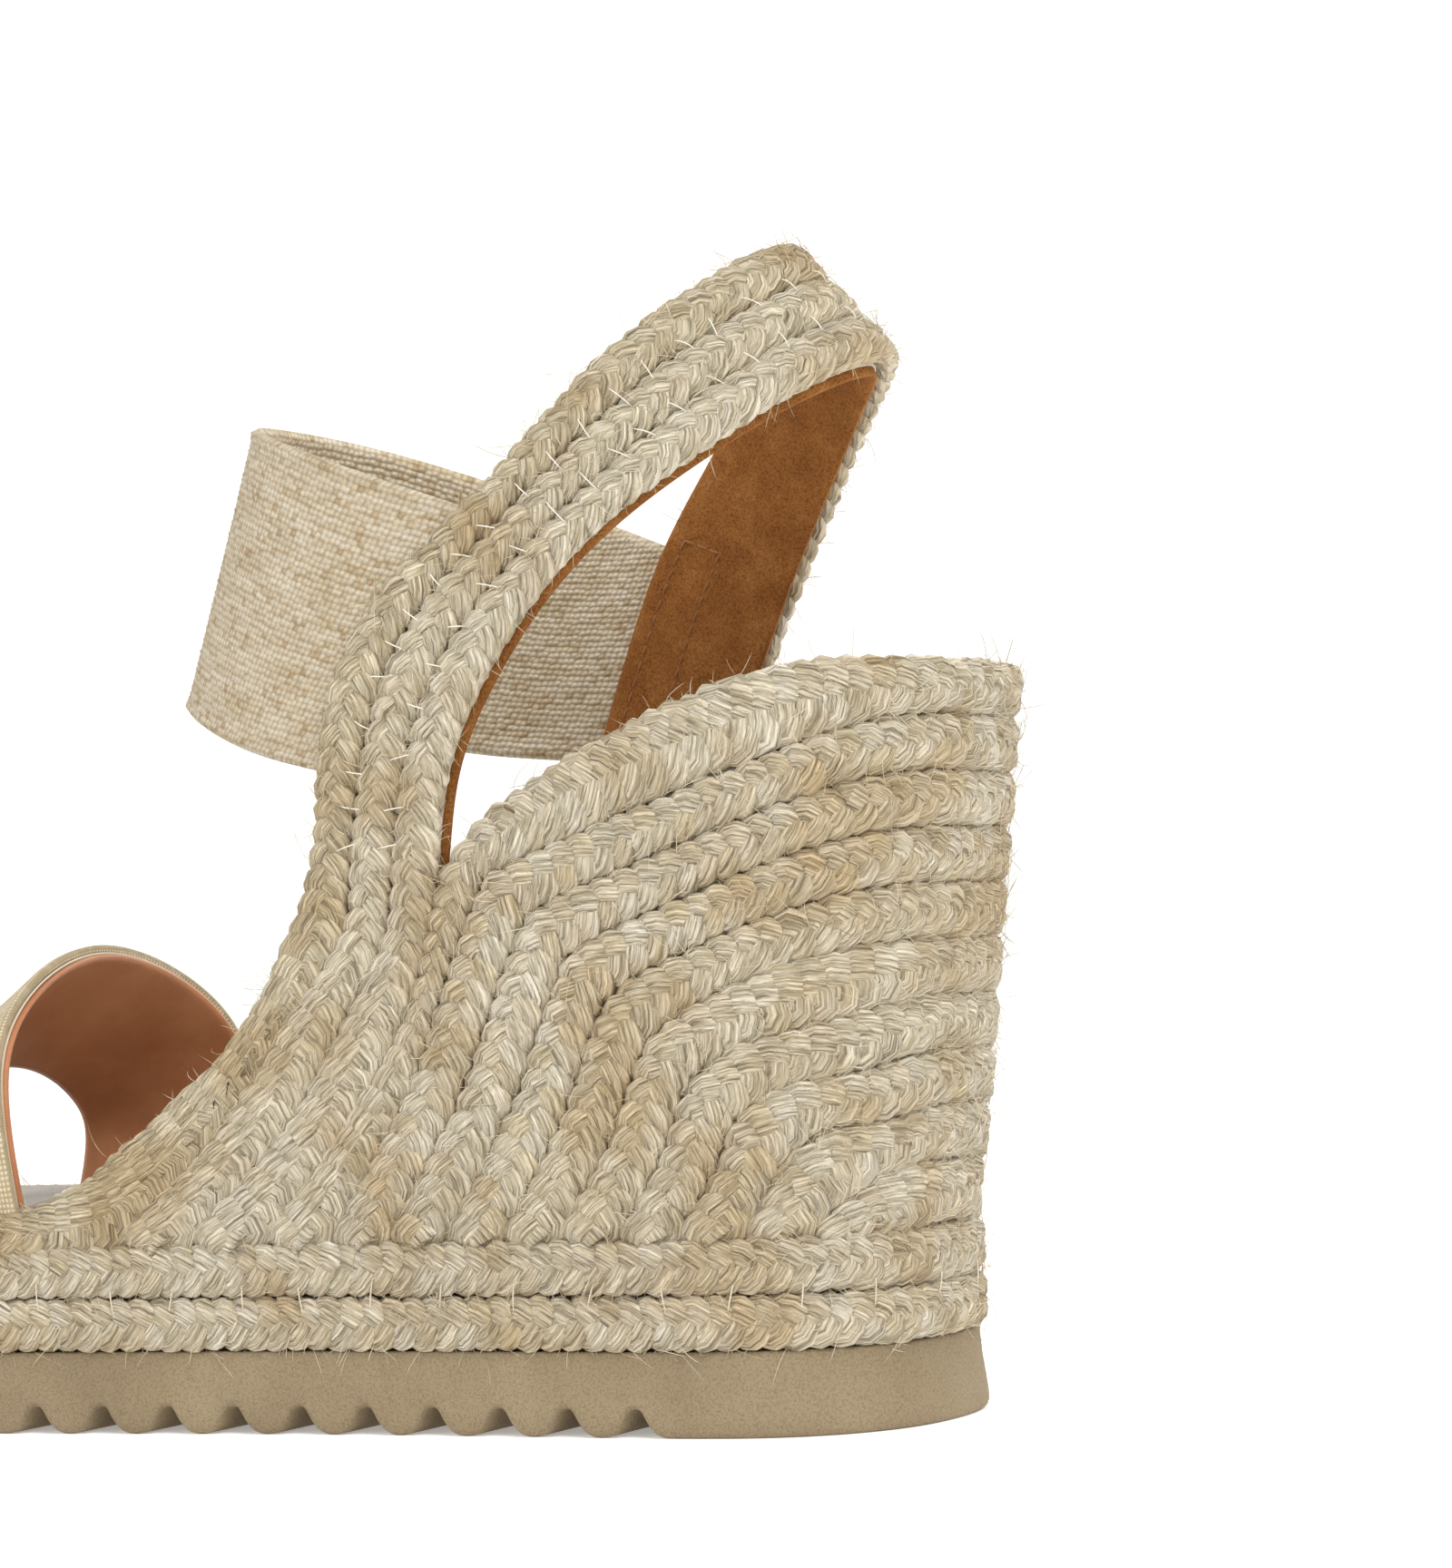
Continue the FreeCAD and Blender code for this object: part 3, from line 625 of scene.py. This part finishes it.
def elasticMaterial():
    mat, shader = newMaterial("moss-woven linen elastic", {"Roughness": 0.92, "Specular IOR Level": 0.15,
                                                           "Sheen Weight": 0.1})
    yarn = addNode(mat, "Attribute", {"attribute_name": "strandMap"}, out="Vector")
    inside = addNode(mat, "SeparateXYZ", links={0: yarn}, out=2)
    flat = addNode(mat, "Mapping", {"Scale": (1.0, 1.0, 0.0)}, {"Vector": yarn})
    # knobs 1.05 mm apart, slubs 2 mm long, cloudy bands 12 mm long
    knobs = addNode(mat, "TexVoronoi", {"feature": "SMOOTH_F1", "Scale": 0.98, "Smoothness": 0.3, "Randomness": 0.3},
                    {"Vector": flat}, out="Distance")
    knobTone = addNode(mat, "TexVoronoi", {"feature": "F1", "Scale": 0.98, "Randomness": 0.3},
                       {"Vector": flat}, out="Color")
    toneNumber = addNode(mat, "SeparateColor", links={0: knobTone})
    slubAt = addNode(mat, "Mapping", {"Scale": (0.10, 0.55, 0.0)}, {"Vector": yarn})
    slub = addNode(mat, "TexNoise", {"Scale": 1.0, "Detail": 3.0, "Roughness": 0.6}, {"Vector": slubAt})
    base = addNode(mat, "ValToRGB", {"stops": [(0.36, "CBBCA2"), (0.50, "D5CAB5"), (0.64, "DFD6C5")]}, {"Fac": slub})
    fleck = addNode(mat, "ValToRGB", {"stops": [(0.0, "D2BB9A"), (0.07, "E8DCC6"), (0.16, "FFFFFF"), (1.0, "FFFBF2")]},
                    {"Fac": toneNumber})
    colour = addNode(mat, "Mix", {"data_type": "RGBA", "blend_type": "MULTIPLY", 0: 0.75}, {6: base, 7: fleck}, out=2)
    # painted shade: darker in the pits between the knobs
    pitShade = addNode(mat, "ValToRGB", {"stops": [(0.30, "FFFFFF"), (0.62, "B3A387")]}, {"Fac": knobs})
    colour = addNode(mat, "Mix", {"data_type": "RGBA", "blend_type": "MULTIPLY", 0: 0.6}, {6: colour, 7: pitShade}, out=2)
    # painted light: the outside is a little greyer than the inside, and the inside is kept lighter to lift the shade it
    # lies in
    outsideGreyerThanLitInside = addNode(mat, "Mix", {"data_type": "RGBA", "blend_type": "MULTIPLY", 0: 1.0, 7: linear("E6E4E2")},
                   {6: colour}, out=2)
    colour = addNode(mat, "Mix", {"data_type": "RGBA"}, {0: inside, 6: outsideGreyerThanLitInside, 7: colour}, out=2)
    height = addNode(mat, "Math", {"operation": "MULTIPLY", 1: -1.0}, {0: knobs})
    return dress(mat, shader, colour, height, 1.0, 0.0007)


# tightly spun pale cotton-linen thread
def threadMaterial(name, light, dark):
    mat, shader = newMaterial(name, {"Roughness": 0.7, "Sheen Weight": 0.2})
    yarn = addNode(mat, "Attribute", {"attribute_name": "strandMap"}, out="Vector")
    # twist of 0.5 mm
    turn = addNode(mat, "Mapping", {"Rotation": (0.0, 0.0, 0.6), "Scale": (2.0, 2.0, 0.0)}, {"Vector": yarn})
    ply = addNode(mat, "TexWave", {"Scale": 0.5, "Distortion": 0.6}, {"Vector": turn}, out="Fac")
    colour = addNode(mat, "ValToRGB", {"stops": [(0.2, dark), (0.7, light)]}, {"Fac": ply})
    return dress(mat, shader, colour, ply, 0.5, 0.0001)


suedeMat = suedeMaterial()
elasticMat = elasticMaterial()
paleThread = threadMaterial("pale linen thread", "E2D8C4", "C4B79C")
tanThread = threadMaterial("tan lining thread", "A8713A", "7C4E24")
whiteThread = threadMaterial("bleached cotton thread", "F4EFE4", "DCD3C0")


def strapFace():
    front, rear = strapEdge(0)[3:-3], strapEdge(3)[3:-3]
    a, b = smoothPair(front, rear, 600)
    return a, b, awayFrom(0.5 * (a + b), (58.0, 0.0, 110.0), 0.5)


def makeStrapLining():
    a, b, out = strapFace()
    low = strap["braid"] + strap["tape"]
    for name, node, depth, mats, slotName, grow in (
            ("strap_suede", "strap_lining", (low, low + strap["lining"]), [suedeMat], "lining_suede", 0.0),
            ("strap_tape_cloth", "strap_tape", (strap["braid"] + 0.02, low - 0.02), [paleThread], "interlining_tape",
             -0.05)):
        bm, layer = newMesh()
        flat = layBand(bm, layer, a - (b - a) * grow, b + (b - a) * grow, out, depth, (22, 22), 1.1)
        piece = finishMesh(name, bm, mats)
        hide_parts(node)
        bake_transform(piece)
        print(name, "is", [round(v * 1000) for v in flat], "mm flat")


def makeLiningStitches():
    # a sewn box on the inside of both legs, where the elastic is caught between braid and lining
    a, b, out = strapFace()
    length, a, b, out = evenly(a, b, 400, out)
    step = length / 399
    across = unit(b - a)
    normal = unit(np.cross(unit(np.gradient(0.5 * (a + b), axis=0)), across))
    normal *= np.sign(np.sum(normal * out, axis=1))[:, None]
    depth = strap["braid"] + strap["tape"] + strap["lining"]
    at = lambda i, w: a[i] + (b[i] - a[i]) * w - normal[i] * (depth - 0.02)
    bm, layer = newMesh()
    every = int(2.6 / step)
    for first, last in ((int(24 / step), int(60 / step)), (399 - int(60 / step), 399 - int(24 / step))):
        for w in (0.13, 0.42):
            for i in range(first, last, every):
                layThread(bm, layer, at(i, w), at(i + every - 1, w), -normal[i], 0.42, 0.22, 0.3)
        for i in (first, last):
            for w in np.arange(0.13, 0.40, 0.1):
                layThread(bm, layer, at(i, w), at(i, w + 0.08), -normal[i], 0.42, 0.22, 0.3)
    piece = finishMesh("lining_stitches", bm, [tanThread])
    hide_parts("lining_stitching")
    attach(piece, "heel_strap")


def makeStrapStitches():
    # thin pale threads that catch each pair of strap plaits together
    bm, layer = newMesh()
    r = np.random.default_rng(77)
    for k in (1, 2):
        a, b = smoothPair(strapEdge(k)[4:-4], strapEdge(k + 1)[4:-4], 400)
        length, a, b, out = evenly(a, b, 400, awayFrom(0.5 * (a + b), (58.0, 0.0, 110.0), 0.5))
        across = unit(b - a)
        tangent = unit(np.gradient(a, axis=0))
        normal = unit(np.cross(tangent, across))
        normal *= np.sign(np.sum(normal * out, axis=1))[:, None]
        i = 6
        while i < 392:
            lean = r.uniform(-0.4, 0.5)
            reach = r.uniform(1.8, 2.9)
            way = unit(across[i] + tangent[i] * lean)
            layThread(bm, layer, a[i] - way * reach, a[i] + way * reach, normal[i], 0.2, 0.9, r.random())
            i += int(r.uniform(5.2, 8.0) / length * 400)
    piece = finishMesh("strap_stitches", bm, [whiteThread])
    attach(piece, "heel_strap")


def makeElastic():
    low, high = np.array(elastic["low"]), np.array(elastic["high"])
    t = np.linspace(-0.04, 6.04, 700)
    keys = np.arange(len(low), dtype=float)
    a, b = smoothThrough(keys, low, t), smoothThrough(keys, high, t)
    bm, layer = newMesh()
    out = awayFrom(0.5 * (a + b), (40.0, 0.0, 118.0), 0.4)
    flat = layBand(bm, layer, a, b, out, (0.0, elastic["thick"]), (116, 40), 0.4, weaveRelief, 1.0)
    band = finishMesh("elastic_band", bm, [elasticMat])
    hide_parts("elastic_front", "elastic_side_outer", "elastic_side_inner")
    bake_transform(band)
    print("elastic band is", [round(v * 1000) for v in flat], "mm flat")


makeStrapLining()
makeLiningStitches()
makeStrapStitches()
makeElastic()

# pairs of edges of the toe strap's outer face, outer foot to inner foot
toe = dict(rear=[(-28.0, -38.6, 30.0), (-31.5, -38.4, 50.0), (-35.5, -28.5, 66.0), (-38.5, 0.0, 75.4), (-35.5, 28.0, 66.0),
                 (-31.5, 35.6, 50.0), (-28.0, 35.6, 30.0)],
           front=[(-70.5, -39.2, 30.0), (-67.0, -37.4, 42.0), (-63.5, -25.0, 51.4), (-60.5, 0.0, 57.6), (-63.5, 24.5, 51.4),
                  (-67.0, 36.4, 42.0), (-70.5, 38.4, 30.0)],
           outer=1.6, middle=0.5, lining=1.1)


# smooth glazed lining leather: even brown, faint pores, soft shine
def leatherMaterial(name, light, dark, rough, pore):
    mat, shader = newMaterial(name, {"Roughness": rough, "Specular IOR Level": 0.4})
    place = addNode(mat, "TexCoord", out="Object")
    # pores about 0.5 mm, tone clouds 15 mm
    cells = addNode(mat, "TexVoronoi", {"feature": "DISTANCE_TO_EDGE", "Scale": pore}, {"Vector": place},
                    out="Distance")
    cloud = addNode(mat, "TexNoise", {"Scale": 65.0, "Detail": 4.0, "Roughness": 0.6}, {"Vector": place})
    colour = addNode(mat, "ValToRGB", {"stops": [(0.35, dark), (0.65, light)]}, {"Fac": cloud})
    shine = addNode(mat, "MapRange", {"From Min": 0.3, "From Max": 0.7, "To Min": rough - 0.07, "To Max": rough + 0.07},
                    {"Value": cloud})
    mat.node_tree.links.new(shine, shader.inputs["Roughness"])
    crease = addNode(mat, "ValToRGB", {"stops": [(0.0, "000000"), (0.12, "FFFFFF")]}, {"Fac": cells})
    return dress(mat, shader, colour, crease, 0.25, 0.0001)


# plain-woven natural linen over the toe
def linenMaterial():
    mat, shader = newMaterial("natural linen cloth", {"Roughness": 0.9, "Specular IOR Level": 0.2, "Sheen Weight": 0.1})
    yarn = addNode(mat, "Attribute", {"attribute_name": "strandMap"}, out="Vector")
    # threads 0.7 mm apart both ways
    warpAt = addNode(mat, "Mapping", {"Scale": (1.43, 1.43, 0.0)}, {"Vector": yarn})
    warp, weft = (addNode(mat, "TexWave", {"bands_direction": way, "Scale": 0.318, "Distortion": 0.5},
                          {"Vector": warpAt}, out="Fac") for way in ("X", "Y"))
    slub = addNode(mat, "TexNoise", {"Scale": 0.5, "Detail": 3.0}, {"Vector": yarn})
    grid = addNode(mat, "Math", {"operation": "MULTIPLY"}, {0: warp, 1: weft})
    base = addNode(mat, "ValToRGB", {"stops": [(0.38, "CABC9D"), (0.62, "D9CEB6")]}, {"Fac": slub})
    # painted shade: darker in the gaps between the threads
    gap = addNode(mat, "ValToRGB", {"stops": [(0.0, "A8977A"), (0.5, "FFFFFF")]}, {"Fac": grid})
    colour = addNode(mat, "Mix", {"data_type": "RGBA", "blend_type": "MULTIPLY", 0: 0.7}, {6: base, 7: gap}, out=2)
    return dress(mat, shader, colour, grid, 0.8, 0.0002)


linenMat = linenMaterial()
# painted light: the lining leather's own brown is made lighter to make up for the shade inside the toe strap
vampLeatherPaintedLight = leatherMaterial("glazed lining leather", "C08258", "AC6E45", 0.5, 2000.0)
sockLeather = leatherMaterial("grey insole leather", "978B7D", "8F8376", 0.42, 2000.0)


def makeToeStrap():
    t = np.linspace(0.05, 5.95, 500)
    keys = np.arange(7.0)
    a, b = smoothThrough(keys, np.array(toe["rear"]), t), smoothThrough(keys, np.array(toe["front"]), t)
    out = awayFrom(0.5 * (a + b), (-50.0, 0.0, 30.0))
    start = 0.0
    for name, thick, mat, slotName in (("outer", toe["outer"], linenMat, "toe_strap_linen"),
                                       ("interlining", toe["middle"], paleThread, "interlining_tape"),
                                       ("lining", toe["lining"], vampLeatherPaintedLight, "lining_leather")):
        bm, layer = newMesh()
        inset = 0.01 if name == "interlining" else 0.0
        depth = (start, start + thick - 0.01)
        flat = layBand(bm, layer, a + (b - a) * inset, b - (b - a) * inset, out, depth, (40, 40), 1.0)
        piece = finishMesh("toe_strap_" + name + "_cut", bm, [mat])
        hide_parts("toe_strap_" + name)
        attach(piece, "sole")
        print(piece.name, "is", [round(v * 1000) for v in flat], "mm flat")
        start += thick


makeToeStrap()

# outsole: wall profile as (height, how far out), grooves across the tread
tread = dict(pitch=11.1, last=75.9, depth=4.35, half=2.05, stations=760, across=9,
             wall=[(0.0, -0.7), (0.5, -0.1), (1.2, 0.15), (2.6, 0.1), (5.0, -0.2), (8.0, -0.6), (10.6, -0.8), (12.0, -0.9),
                   (12.4, -1.2)])


def treadHeight(x):
    # rounded inverted V grooves, deepest in the middle, fading into rounded teeth
    d = (x - tread["last"] + tread["pitch"] / 2) % tread["pitch"] - tread["pitch"] / 2
    z = np.maximum(tread["depth"] / (1 + (np.abs(d) / tread["half"]) ** 3.3) - 0.16, 0.03)
    return np.where((x < tread["last"] + 5.5) & (x > sole["toeX"] + 9), z, 0.03)


def makeOutsole():
    # stations crowd together at the rounded ends
    endGap = np.array([0.0, 0.02, 0.05, 0.1, 0.25, 0.5, 0.9, 1.4, 2.0, 2.8, 3.8]) / 235
    t = np.concatenate([endGap, np.linspace(5 / 235, 1 - 5 / 235, tread["stations"]), 1 - endGap[::-1]])

    def outline(out):
        # x and both half widths of the outline pushed out by so much
        p = planPts + planNrm * out
        p = np.roll(p, -int(np.argmin(p[:, 0])), 0)
        half = int(np.argmax(p[:, 0]))
        x = p[0, 0] + (p[half, 0] - p[0, 0]) * t
        front, back = p[:half + 1], np.concatenate([p[half:], p[:1]])[::-1]
        return (x, *(np.interp(x, np.maximum.accumulate(q[:, 0]), q[:, 1]) for q in (front, back)))

    ring = []
    wall = tread["wall"]
    for side in (0, 1):
        walls = []
        for z, out in wall:
            x, yo, yi = outline(out)
            y = yo if side == 0 else yi
            floor = treadHeight(x)
            height = floor + (sole["outsole"] - floor) * (z / sole["outsole"])
            walls.append(np.stack([x, y, height], -1))
        if side == 0:
            ring += walls
            x, yo, yi = outline(-4.0)
            for f in (0.02, 0.35, 0.65, 0.98):
                ring.append(np.stack([x, yo + (yi - yo) * f, np.full(len(x), sole["outsole"])], -1))
        else:
            ring += walls[::-1]
    x, yo, yi = outline(wall[0][1])
    for f in np.linspace(1, 0, tread["across"] + 2)[1:-1]:
        ring.append(np.stack([x, yo + (yi - yo) * f, treadHeight(x)], -1))
    points = np.stack(ring, 1)
    bm, layer = newMesh()
    layGrid(bm, layer, points, points, rolled=True, capped=False)
    # both ends run to one upright line, which closes the shell
    bmesh.ops.remove_doubles(bm, verts=list(bm.verts), dist=2e-6)
    piece = finishMesh("outsole_tread", bm, [rubberMat])
    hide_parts("outsole")
    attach(piece, "sole")
    print("outsole cut")


# moulded foam rubber: matt taupe with a fine sandy skin
def rubberMaterial():
    mat, shader = newMaterial("moulded taupe foam rubber", {"Roughness": 0.8, "Specular IOR Level": 0.3})
    place = addNode(mat, "TexCoord", out="Object")
    # sandy skin 0.35 mm, cloudy shade 20 mm
    sand = addNode(mat, "TexNoise", {"Scale": 2700.0, "Detail": 2.0, "Roughness": 0.7}, {"Vector": place})
    cloud = addNode(mat, "TexNoise", {"Scale": 50.0, "Detail": 2.0}, {"Vector": place})
    base = addNode(mat, "ValToRGB", {"stops": [(0.35, "87775E"), (0.65, "938369")]}, {"Fac": cloud})
    grit = addNode(mat, "ValToRGB", {"stops": [(0.34, "C6BBAA"), (0.56, "FFFFFF")]}, {"Fac": sand})
    colour = addNode(mat, "Mix", {"data_type": "RGBA", "blend_type": "MULTIPLY", 0: 0.6}, {6: base, 7: grit}, out=2)
    return dress(mat, shader, colour, sand, 0.5, 0.0002)


rubberMat = rubberMaterial()
makeOutsole()

# foot bed: side view of its top, heel to toe
bed = dict(top=[(118.0, 108.6), (110.0, 108.0), (91.0, 105.4), (76.0, 100.4), (61.0, 92.6), (46.0, 82.2), (31.0, 70.2),
                (16.0, 58.4), (2.0, 48.4), (-12.0, 40.4), (-24.0, 35.6), (-34.0, 33.8), (-46.0, 33.4), (-60.0, 33.4),
                (-90.0, 33.4), (-117.0, 33.4)], inset=4.1, thick=0.9)


def makeSock():
    top = np.array(bed["top"])
    d = runLength(np.stack([top[:, 0], top[:, 1]], -1))
    run = smoothThrough(d, top, np.linspace(0, d[-1], 220))
    half = int(heelU / planStep)
    rows = []
    w = np.linspace(-1, 1, 33)
    for x, z in run:
        lift = max(z - sole["top"], 0) / (sole["rim"] - sole["top"])
        lean = sole["lean"] * float(ease((x - 55) / 60)) * lift
        p = planPts - planNrm * bed["inset"]
        px = np.clip(x - lean, p[:, 0].min() + 0.4, p[:, 0].max() - 0.4)
        ends = []
        for idx in (np.arange(0, half + 1), np.arange(half, len(p))):
            o = np.argsort(p[idx, 0])
            ends.append(np.interp(px, p[idx, 0][o], p[idx, 1][o]))
        y = ends[0] + (ends[1] - ends[0]) * (0.5 + 0.5 * w)
        cup = 0.5 * (np.abs(w) ** 3)
        rows.append(np.stack([np.full(33, px + lean), y, z - 0.45 + cup * 0.8], -1))
    points = np.array(rows)
    bm, layer = newMesh()
    layGrid(bm, layer, points, points)
    bmesh.ops.solidify(bm, geom=list(bm.faces), thickness=bed["thick"] * mm)
    piece = finishMesh("sock_leather_sheet", bm, [sockLeather])
    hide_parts("sock_lining")
    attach(piece, "sole")


makeSock()


def makePlatformStitches():
    # long hand stitches that hold the two platform rows together
    bm, layer = newMesh()
    r = np.random.default_rng(9)
    seam = (sole["outsole"] + sole["top"]) / 2
    u = 4.0
    while u < planLen - 4:
        lean = r.uniform(-1.6, 2.4)
        p = wallPoint(u - lean / 2, seam - r.uniform(2.8, 3.6), 0.1)
        q = wallPoint(u + lean / 2, seam + r.uniform(2.8, 3.6), 0.1)
        _, n = planAt(u)
        layThread(bm, layer, p, q, (n[0], n[1], 0.0), 0.24, 0.5, r.random())
        u += r.uniform(9.5, 13.5)
    piece = finishMesh("platform_stitches", bm, [paleThread])
    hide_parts("platform_stitching")
    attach(piece, "sole")


makePlatformStitches()


# grainy finishes of the parts inside: two tones and a slight roughness
def innerMaterial(name, colours, scale, rough, settings=None):
    mat, shader = newMaterial(name, {"Roughness": rough, **(settings or {})})
    place = addNode(mat, "TexCoord", out="Object")
    grain = addNode(mat, "TexNoise", {"Scale": scale, "Detail": 3.0}, {"Vector": place})
    colour = addNode(mat, "ValToRGB", {"stops": [(0.35, colours[0]), (0.65, colours[1])]}, {"Fac": grain})
    return dress(mat, shader, colour, grain, 0.4, 0.0003)


# painted shade: the cork cores are cork, coloured darker than cork to stand for the shade seen through the gaps between
# rows
corkShadeMat = innerMaterial("pressed cork", ("7A6444", "957E58"), 400.0, 0.9)
foamMat = innerMaterial("latex foam", ("D6CBAE", "E6DCC2"), 900.0, 0.9)
boardMat = innerMaterial("shoe fibreboard", ("7A6344", "8F7753"), 700.0, 0.85)
steelMat = innerMaterial("rolled spring steel", ("8A8A88", "9C9C9A"), 300.0, 0.35, {"Metallic": 1.0})
for nodeName, mat in (("platform_core", corkShadeMat), ("wedge_core", corkShadeMat), ("insole_padding", foamMat),
                      ("insole_board", boardMat), ("shank", steelMat)):
    held = bpy.data.objects[nodeName]
    held.data.materials.clear()
    held.data.materials.append(mat)

camera = dict(place=(0.37045, -0.5731, 0.0709), azimuth=27.0, pitch=2.2, roll=2.23, lens=96.875)


def setCamera():
    az, e, r = (math.radians(camera[k]) for k in ("azimuth", "pitch", "roll"))
    ahead = Vector((-math.sin(az) * math.cos(e), math.cos(az) * math.cos(e), math.sin(e)))
    right = Vector((math.cos(az), math.sin(az), 0))
    up = right.cross(ahead)
    x = right * math.cos(r) - up * math.sin(r)
    y = right * math.sin(r) + up * math.cos(r)
    data = bpy.data.cameras.new("view")
    data.lens = camera["lens"]
    data.sensor_width = 36.0
    # plain studio colours, so white paper stays white
    bpy.context.scene.view_settings.view_transform = "Standard"
    cam = bpy.data.objects.new("view", data)
    cam.matrix_world = Matrix.Translation(camera["place"]) @ Matrix((x, y, -ahead)).transposed().to_4x4()
    bpy.context.scene.collection.objects.link(cam)
    bpy.context.scene.camera = cam


def setStage():
    # pale floor that curves up into a wall all round the far side
    bm = bmesh.new()
    bmesh.ops.create_circle(bm, cap_ends=True, segments=96, radius=3.0)
    rim = [e for e in bm.edges if e.is_boundary]
    for radius, height in ((3.5, 0.07), (3.85, 0.3), (4.0, 0.8), (4.0, 4.0)):
        got = bmesh.ops.extrude_edge_only(bm, edges=rim)["geom"]
        ring = [v for v in got if isinstance(v, bmesh.types.BMVert)]
        for v in ring:
            flat = v.co.xy.normalized() * radius
            v.co = (flat.x, flat.y, height)
        rim = [e for e in got if isinstance(e, bmesh.types.BMEdge) and all(w in ring for w in e.verts)]
    mat, _ = newMaterial("matt white paper", {"Base Color": linear("FAFAF8"), "Roughness": 0.9,
                                              "Emission Color": linear("FFFFFF"), "Emission Strength": 0.28})
    floor = finishMesh("paper_floor", bm, [mat])


def setLights():
    world = bpy.data.worlds.new("studio")
    world.use_nodes = True
    world.node_tree.nodes["Background"].inputs["Color"].default_value = (1, 1, 1, 1)
    world.node_tree.nodes["Background"].inputs["Strength"].default_value = 0.38
    bpy.context.scene.world = world
    for name, place, size, power in (("key", (0.7, -0.6, 1.4), 0.8, 16), ("rear", (0.4, 1.2, 0.9), 1.0, 9),
                                     ("front", (-0.8, -1.1, 0.8), 1.2, 4)):
        data = bpy.data.lights.new(name, "AREA")
        data.size = size
        data.energy = power
        ob = bpy.data.objects.new(name, data)
        aim = Vector((0, 0, 0.08)) - Vector(place)
        ob.matrix_world = Matrix.Translation(place) @ aim.to_track_quat("-Z", "Y").to_matrix().to_4x4()
        bpy.context.scene.collection.objects.link(ob)


setCamera()
setStage()
setLights()
print("camera, floor and lights set")
